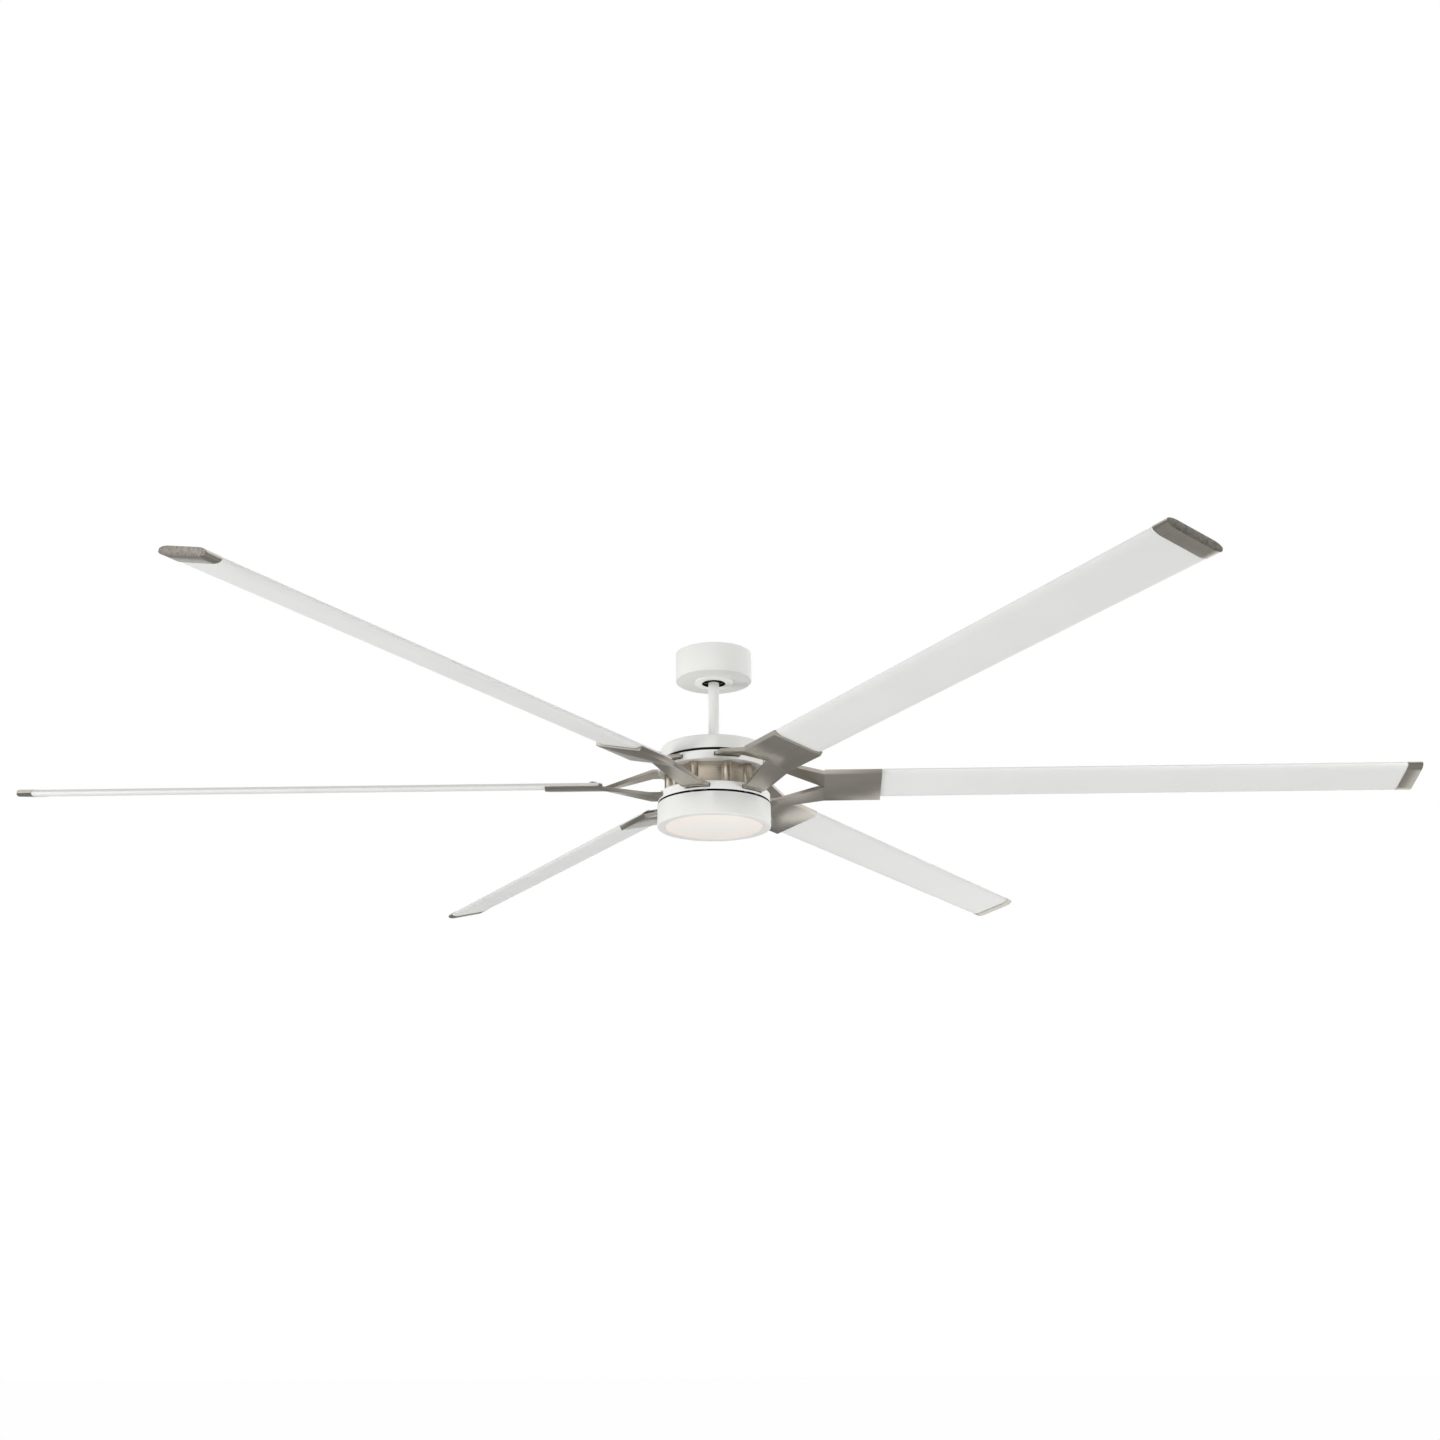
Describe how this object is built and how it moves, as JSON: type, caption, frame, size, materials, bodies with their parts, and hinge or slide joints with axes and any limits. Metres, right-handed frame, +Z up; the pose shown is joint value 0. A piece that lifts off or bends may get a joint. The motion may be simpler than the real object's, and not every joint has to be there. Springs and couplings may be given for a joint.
{
  "type": "ceiling fan",
  "caption": "Large white ceiling fan on a short downrod, with pitched metal blades on brushed nickel two-legged holders and a flat round light under the hub.",
  "frame": {"origin": "centre of the ceiling bracket's slot pattern, on the ceiling plane", "axes": "+Z up through the ceiling along the drive axis; +X out along the first blade"},
  "size_m": [2.4384, 2.154, 0.3196],
  "materials": {
    "white_enamel": "satin white powder coat on steel",
    "white_cast": "satin white powder coat on cast aluminium",
    "blade_white": "satin white powder coat on extruded aluminium",
    "brushed_nickel": "brushed nickel plate on die-cast alloy",
    "opal_lens": "matt opal acrylic",
    "plated_steel": "bright zinc plate",
    "black_steel": "matt black paint on steel",
    "bearing_steel": "ground bearing steel",
    "stator_iron": "varnished steel laminations",
    "magnet": "plated magnet blocks",
    "copper_wire": "enamelled copper wire",
    "dark_plastic": "matt black moulded plastic",
    "white_plastic": "matt white moulded plastic",
    "board": "white aluminium-backed circuit board",
    "lead_jacket": "white flexible cable jacket"
  },
  "bodies": {
    "ceiling_mount": {"hanger_bracket": "plated_steel", "canopy": "white_enamel", "canopy_cover_ring": "white_enamel", "canopy_screws": "plated_steel", "receiver": "dark_plastic"},
    "suspension": {"hanger_ball": "dark_plastic", "hanger_pin": "plated_steel", "downrod": "white_enamel", "rod_coupling": "black_steel", "clevis_pin": "plated_steel", "hairpin": "plated_steel", "coupling_set_screws": "plated_steel", "top_cap": "white_enamel", "top_cap_screws": "plated_steel", "motor_shaft": "plated_steel", "stator_spacer": "plated_steel", "light_spacer": "plated_steel", "upper_inner_race": "bearing_steel", "lower_inner_race": "bearing_steel", "stator_core": "stator_iron", "stator_coils": "copper_wire", "light_plate": "plated_steel", "shaft_nut": "plated_steel", "light_housing": "white_enamel", "bezel_ring": "white_plastic", "lens": "opal_lens", "led_tray": "board", "light_screws": "plated_steel", "led_driver": "dark_plastic", "supply_lead": "lead_jacket"},
    "rotor": {"upper_ring": "white_cast", "lower_ring": "white_cast", "hub_core": "brushed_nickel", "rotor_magnets": "magnet", "hub_bolts": "plated_steel", "upper_outer_race": "bearing_steel", "lower_outer_race": "bearing_steel", "holder_screws": "plated_steel", "blade_screws": "plated_steel", "blade_holder_1": "brushed_nickel", "blade_1": "blade_white", "blade_tip_1": "brushed_nickel", "blade_holder_2": "brushed_nickel", "blade_2": "blade_white", "blade_tip_2": "brushed_nickel", "blade_holder_3": "brushed_nickel", "blade_3": "blade_white", "blade_tip_3": "brushed_nickel", "blade_holder_4": "brushed_nickel", "blade_4": "blade_white", "blade_tip_4": "brushed_nickel", "blade_holder_5": "brushed_nickel", "blade_5": "blade_white", "blade_tip_5": "brushed_nickel", "blade_holder_6": "brushed_nickel", "blade_6": "blade_white", "blade_tip_6": "brushed_nickel"},
    "upper_balls": {"upper_ball_set": "bearing_steel"},
    "lower_balls": {"lower_ball_set": "bearing_steel"}
  },
  "joints": [
    {"name": "hanger_tilt", "type": "hinge", "parent": "ceiling_mount", "child": "suspension", "pos_m": [0, 0, -0.026], "axis": [0, 1, 0], "range_deg": [-10, 10]},
    {"name": "rotor_spin", "type": "hinge", "parent": "suspension", "child": "rotor", "pos_m": [0, 0, -0.242], "axis": [0, 0, 1], "continuous": true},
    {"name": "upper_ball_roll", "type": "hinge", "parent": "suspension", "child": "upper_balls", "pos_m": [0, 0, -0.214], "axis": [0, 0, 1], "continuous": true},
    {"name": "lower_ball_roll", "type": "hinge", "parent": "suspension", "child": "lower_balls", "pos_m": [0, 0, -0.27], "axis": [0, 0, 1], "continuous": true}
  ],
  "couplings": [
    {"joint": "upper_ball_roll", "follows": "rotor_spin", "ratio": 0.61579},
    {"joint": "lower_ball_roll", "follows": "rotor_spin", "ratio": 0.61579}
  ]
}
